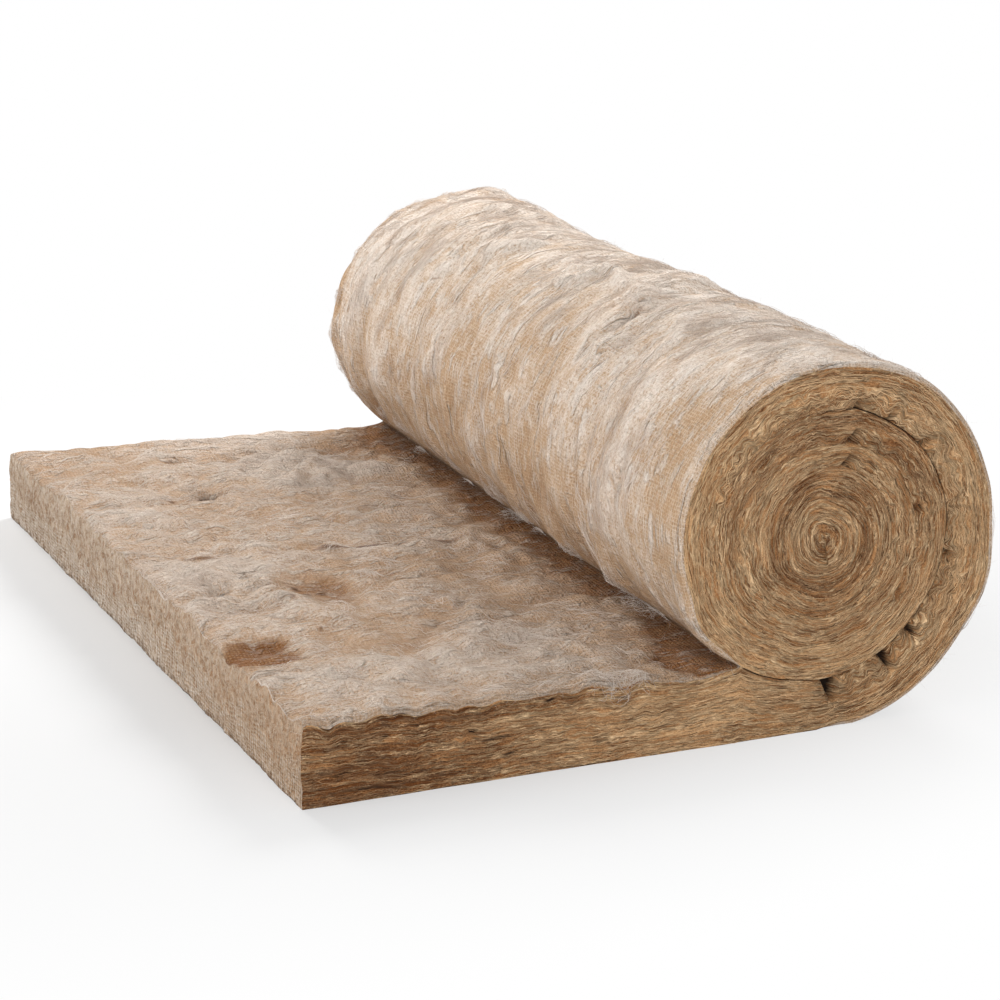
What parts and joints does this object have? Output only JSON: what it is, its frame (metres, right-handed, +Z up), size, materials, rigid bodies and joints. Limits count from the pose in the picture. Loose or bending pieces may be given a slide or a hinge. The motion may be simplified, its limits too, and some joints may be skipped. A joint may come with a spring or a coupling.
{
  "type": "insulation roll",
  "caption": "Thick mat of brown mineral wool, partly rolled into a spiral, with its free tail lying flat; laid over floors and between joists to insulate a building.",
  "frame": {"origin": "on the floor, below the middle of the part's box", "axes": "+X along the mat's length, from the cut end of the tail towards the roll; +Y along the roll's axis, away from the near end; +Z up"},
  "size_m": [0.8979, 1.14, 0.436],
  "materials": {
    "wool": "matt, fibrous, with paler loose fibre on the faces"
  },
  "bodies": {
    "root": {"wool_mat": "wool"}
  },
  "joints": []
}
